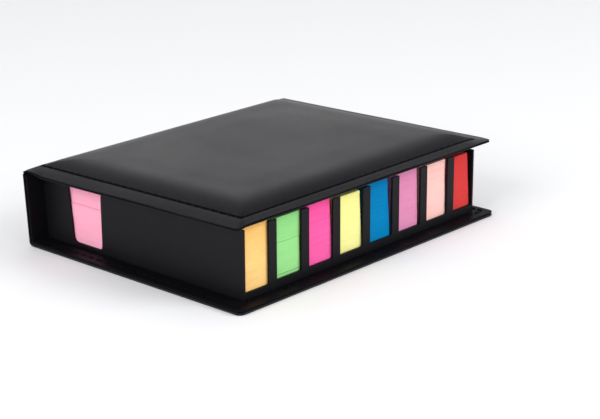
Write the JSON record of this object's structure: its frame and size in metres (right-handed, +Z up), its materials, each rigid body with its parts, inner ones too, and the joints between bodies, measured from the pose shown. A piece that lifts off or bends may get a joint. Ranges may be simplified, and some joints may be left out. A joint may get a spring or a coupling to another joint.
{
  "type": "sticky note memo box",
  "caption": "Padded leatherette book-style box with a hinged cover, a notched card tray, sticky page flags in many colours and sticky note pads.",
  "frame": {"origin": "on the table, under the middle of the closed box", "axes": "+X along the fore-edge, away from the end with the note window; +Y from the fore-edge to the spine; +Z up"},
  "size_m": [0.145, 0.1118, 0.0355],
  "materials": {
    "leatherette": "black pebbled leatherette, satin",
    "lining": "smooth black lining, satin",
    "tray_card": "black faced card, matt",
    "greyboard": "plain greyboard, matt",
    "foam": "thin foam padding, matt",
    "paper_orange": "sheet edges, matt",
    "paper_green": "sheet edges, matt",
    "paper_hot_pink": "sheet edges, matt",
    "paper_yellow": "sheet edges, matt",
    "paper_blue": "sheet edges, matt",
    "paper_orchid": "sheet edges, matt",
    "paper_blush": "sheet edges, matt",
    "paper_red": "sheet edges, matt",
    "paper_note_pink": "sheet edges, matt",
    "paper_note_yellow": "sheet edges, matt"
  },
  "bodies": {
    "case": {"case_skin": "leatherette", "base_board": "greyboard", "case_lining": "lining", "spine_board": "greyboard", "tray": "tray_card", "long_divider": "tray_card", "cross_divider": "tray_card", "flags_orange": "paper_orange", "flags_green_lower": "paper_green", "flags_green_upper": "paper_green", "flags_hot_pink_lower": "paper_hot_pink", "flags_hot_pink_upper": "paper_hot_pink", "flags_yellow": "paper_yellow", "flags_blue": "paper_blue", "flags_orchid": "paper_orchid", "flags_blush": "paper_blush", "flags_red": "paper_red", "notes_pink_lower": "paper_note_pink", "notes_pink_upper": "paper_note_pink", "notes_yellow": "paper_note_yellow"},
    "cover": {"cover_skin": "leatherette", "cover_foam": "foam", "cover_board": "greyboard", "cover_lining": "lining"}
  },
  "joints": [
    {"name": "cover_hinge", "type": "hinge", "parent": "case", "child": "cover", "pos_m": [0, 0.05595, 0.0286], "axis": [-1, 0, 0], "range_deg": [0, 185]}
  ]
}
